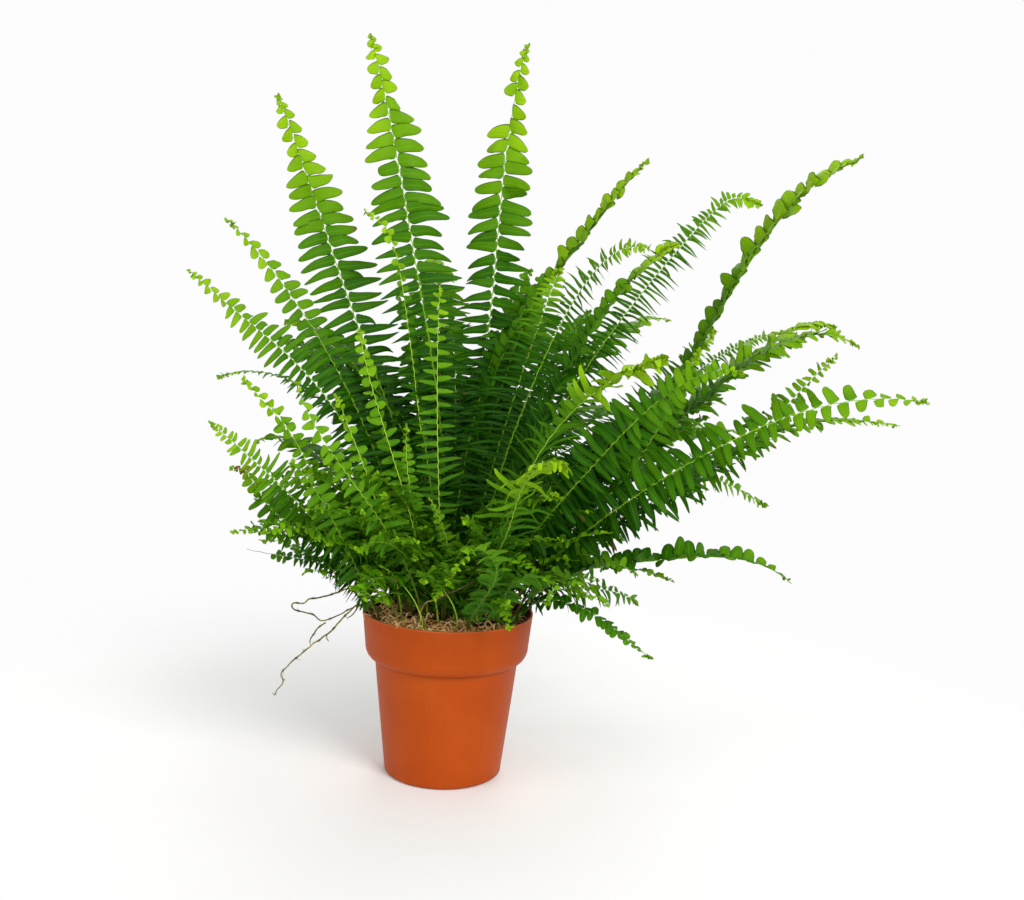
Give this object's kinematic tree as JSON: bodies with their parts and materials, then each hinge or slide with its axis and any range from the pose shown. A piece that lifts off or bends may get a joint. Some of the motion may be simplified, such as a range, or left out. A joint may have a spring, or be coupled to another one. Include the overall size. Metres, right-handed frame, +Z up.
{
  "type": "potted fern",
  "caption": "Sword fern in a tapered nursery pot with a deep rim collar: arching pinnate fronds, growing medium, rhizome crown and trailing stolons.",
  "frame": {"origin": "centre of the pot's flat underside, where it stands", "axes": "+Z up along the pot's axis; +X to the side the longest fronds lean to; -Y to the side with the low young fronds and the stolons"},
  "size_m": [0.5052, 0.4522, 0.5289],
  "materials": {
    "pot_plastic": "satin terracotta-coloured moulded plastic with faint vertical streaks",
    "growing_medium": "coarse brown coir and peat with pale roots",
    "rhizome": "brown scaly rhizome",
    "stolon": "olive brown wiry runner with small nodes",
    "leaf_mature": "mid to deep green leaflets with a soft sheen and a dark margin",
    "leaf_young": "bright lime green young leaflets, slightly translucent"
  },
  "bodies": {
    "root": {"frond_b1": "leaf_mature", "frond_b2": "leaf_mature", "frond_b3": "leaf_mature", "frond_b4": "leaf_mature", "frond_b5": "leaf_mature", "frond_b6": "leaf_mature", "frond_b7": "leaf_mature", "frond_b8": "leaf_mature", "frond_b9": "leaf_mature", "frond_bl": "leaf_mature", "frond_c4": "leaf_young", "frond_c6": "leaf_young", "frond_c9": "leaf_young", "frond_cz": "leaf_young", "frond_f1": "leaf_mature", "frond_f10": "leaf_mature", "frond_f11": "leaf_mature", "frond_f12": "leaf_mature", "frond_f12c": "leaf_mature", "frond_f13": "leaf_mature", "frond_f13b": "leaf_mature", "frond_f14": "leaf_mature", "frond_f15": "leaf_mature", "frond_f15b": "leaf_mature", "frond_f16": "leaf_mature", "frond_f16b": "leaf_mature", "frond_f17": "leaf_mature", "frond_f18": "leaf_mature", "frond_f19": "leaf_mature", "frond_f2": "leaf_mature", "frond_f20": "leaf_mature", "frond_f21": "leaf_mature", "frond_f22": "leaf_mature", "frond_f23": "leaf_mature", "frond_f23b": "leaf_mature", "frond_f24": "leaf_young", "frond_f3": "leaf_mature", "frond_f4": "leaf_mature", "frond_f5": "leaf_mature", "frond_f6": "leaf_mature", "frond_f7": "leaf_mature", "frond_f7b": "leaf_mature", "frond_f8": "leaf_young", "frond_f8b": "leaf_young", "frond_f8c": "leaf_young", "frond_f8d": "leaf_mature", "frond_f9": "leaf_mature", "frond_n1": "leaf_mature", "frond_n2": "leaf_mature", "frond_nb": "leaf_mature", "frond_nd": "leaf_mature", "frond_ya": "leaf_young", "frond_yt": "leaf_young", "frond_yu": "leaf_young", "growing_medium": "growing_medium", "nursery_pot": "pot_plastic", "rhizome_crown": "rhizome", "stolon_front": "stolon", "stolon_long": "stolon", "stolon_loop": "stolon"}
  },
  "joints": []
}
